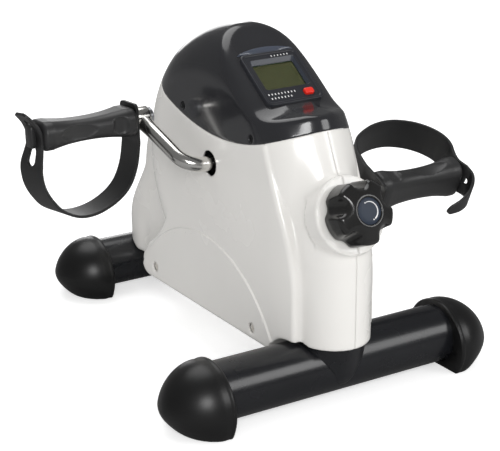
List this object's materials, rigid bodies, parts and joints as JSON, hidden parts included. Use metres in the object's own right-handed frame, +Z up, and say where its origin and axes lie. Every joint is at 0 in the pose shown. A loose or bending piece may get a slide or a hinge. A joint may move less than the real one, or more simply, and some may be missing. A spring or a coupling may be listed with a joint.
{
  "type": "pedal exerciser",
  "caption": "Floor-standing pedal exerciser with bent cranks, strapped bar pedals, a band brake set by a lobed knob, a small monitor in a dark cover and two cross tubes on domed feet.",
  "frame": {"origin": "on the floor under the middle of the whole machine's box at rest, in the plane of symmetry of the housing", "axes": "+X to the right of a seated user who faces the machine, -Y towards the user (the nose and knob side), +Z up"},
  "size_m": [0.3644, 0.4116, 0.2959],
  "materials": {
    "tube_paint": "satin black paint",
    "frame_paint": "black paint",
    "foot_plastic": "satin black moulded plastic",
    "zinc_steel": "zinc plated",
    "bearing_steel": "ground steel",
    "housing_plastic": "warm white gloss",
    "screw_steel": "zinc plated",
    "screw_black": "black",
    "cover_plastic": "charcoal gloss",
    "monitor_plastic": "charcoal, finely satin",
    "inner_plastic": "black",
    "display": "olive display",
    "clear_lens": "clear",
    "board": "green board",
    "cell": "gloss sleeve",
    "button_red": "red gloss",
    "wire": "black",
    "crank_chrome": "bright chrome",
    "wheel_iron": "turned rim",
    "magnet": "dark grey",
    "pedal_plastic": "satin dark grey",
    "bush_plastic": "natural",
    "strap_rubber": "satin black",
    "felt": "felt",
    "nut_brass": "plain",
    "knob_plastic": "gloss black",
    "knob_mark": "blue-black"
  },
  "bodies": {
    "frame": {"front_tube": "tube_paint", "rear_tube": "tube_paint", "front_foot_left": "foot_plastic", "front_foot_right": "foot_plastic", "rear_foot_left": "foot_plastic", "rear_foot_right": "foot_plastic", "front_neck": "tube_paint", "frame_spine": "frame_paint", "bearing_plate_left": "zinc_steel", "bearing_plate_right": "zinc_steel", "bearing_left": "bearing_steel", "bearing_right": "bearing_steel", "plate_bolts": "zinc_steel", "band_anchor_pin": "zinc_steel", "housing_left": "housing_plastic", "housing_right": "housing_plastic", "housing_screws": "screw_steel", "top_cover": "cover_plastic", "cover_screws": "screw_black", "monitor_case": "monitor_plastic", "monitor_back": "inner_plastic", "display_panel": "display", "display_lens": "clear_lens", "circuit_board": "board", "battery": "cell", "reed_sensor": "inner_plastic", "sensor_wire": "wire", "brake_felt": "felt", "brake_band": "zinc_steel", "tension_bracket": "zinc_steel", "tension_spring": "zinc_steel"},
    "crank": {"axle_sleeve": "zinc_steel", "crank_left": "crank_chrome", "crank_right": "crank_chrome", "crank_grub_screws": "screw_steel", "brake_wheel": "wheel_iron", "wheel_magnet": "magnet", "pedal_spindle_left": "zinc_steel", "pedal_spindle_right": "zinc_steel"},
    "pedal_left": {"pedal_left": "pedal_plastic", "pedal_bushes_left": "bush_plastic", "pedal_strap_left": "strap_rubber"},
    "pedal_right": {"pedal_right": "pedal_plastic", "pedal_bushes_right": "bush_plastic", "pedal_strap_right": "strap_rubber"},
    "knob": {"tension_screw": "zinc_steel", "knob": "knob_plastic", "knob_disc": "knob_mark"},
    "tension_nut": {"tension_nut": "nut_brass"},
    "reset_button": {"reset_button": "button_red"}
  },
  "joints": [
    {"name": "crank_turn", "type": "hinge", "parent": "frame", "child": "crank", "pos_m": [0, -0.0235, 0.18], "axis": [1, 0, 0], "continuous": true},
    {"name": "pedal_left_turn", "type": "hinge", "parent": "crank", "child": "pedal_left", "pos_m": [0, 0.03942, 0.21069], "axis": [1, 0, 0], "continuous": true},
    {"name": "pedal_right_turn", "type": "hinge", "parent": "crank", "child": "pedal_right", "pos_m": [0, -0.08642, 0.14931], "axis": [1, 0, 0], "continuous": true},
    {"name": "knob_turn", "type": "hinge", "parent": "frame", "child": "knob", "pos_m": [0, -0.14308, 0.15577], "axis": [0, -0.9171, 0.3987], "range_deg": [-1440, 1440]},
    {"name": "nut_slide", "type": "slide", "parent": "frame", "child": "tension_nut", "axis": [0, -0.9171, 0.3987], "range_m": [-0.006, 0.006], "deforming": ["tension_spring"]},
    {"name": "button_press", "type": "slide", "parent": "frame", "child": "reset_button", "axis": [0, 0.5664, -0.8241], "range_m": [0, 0.001], "stiffness_N_per_m": 200}
  ],
  "couplings": [
    {"joint": "nut_slide", "follows": "knob_turn", "m_per_rad": 0.00023873}
  ]
}
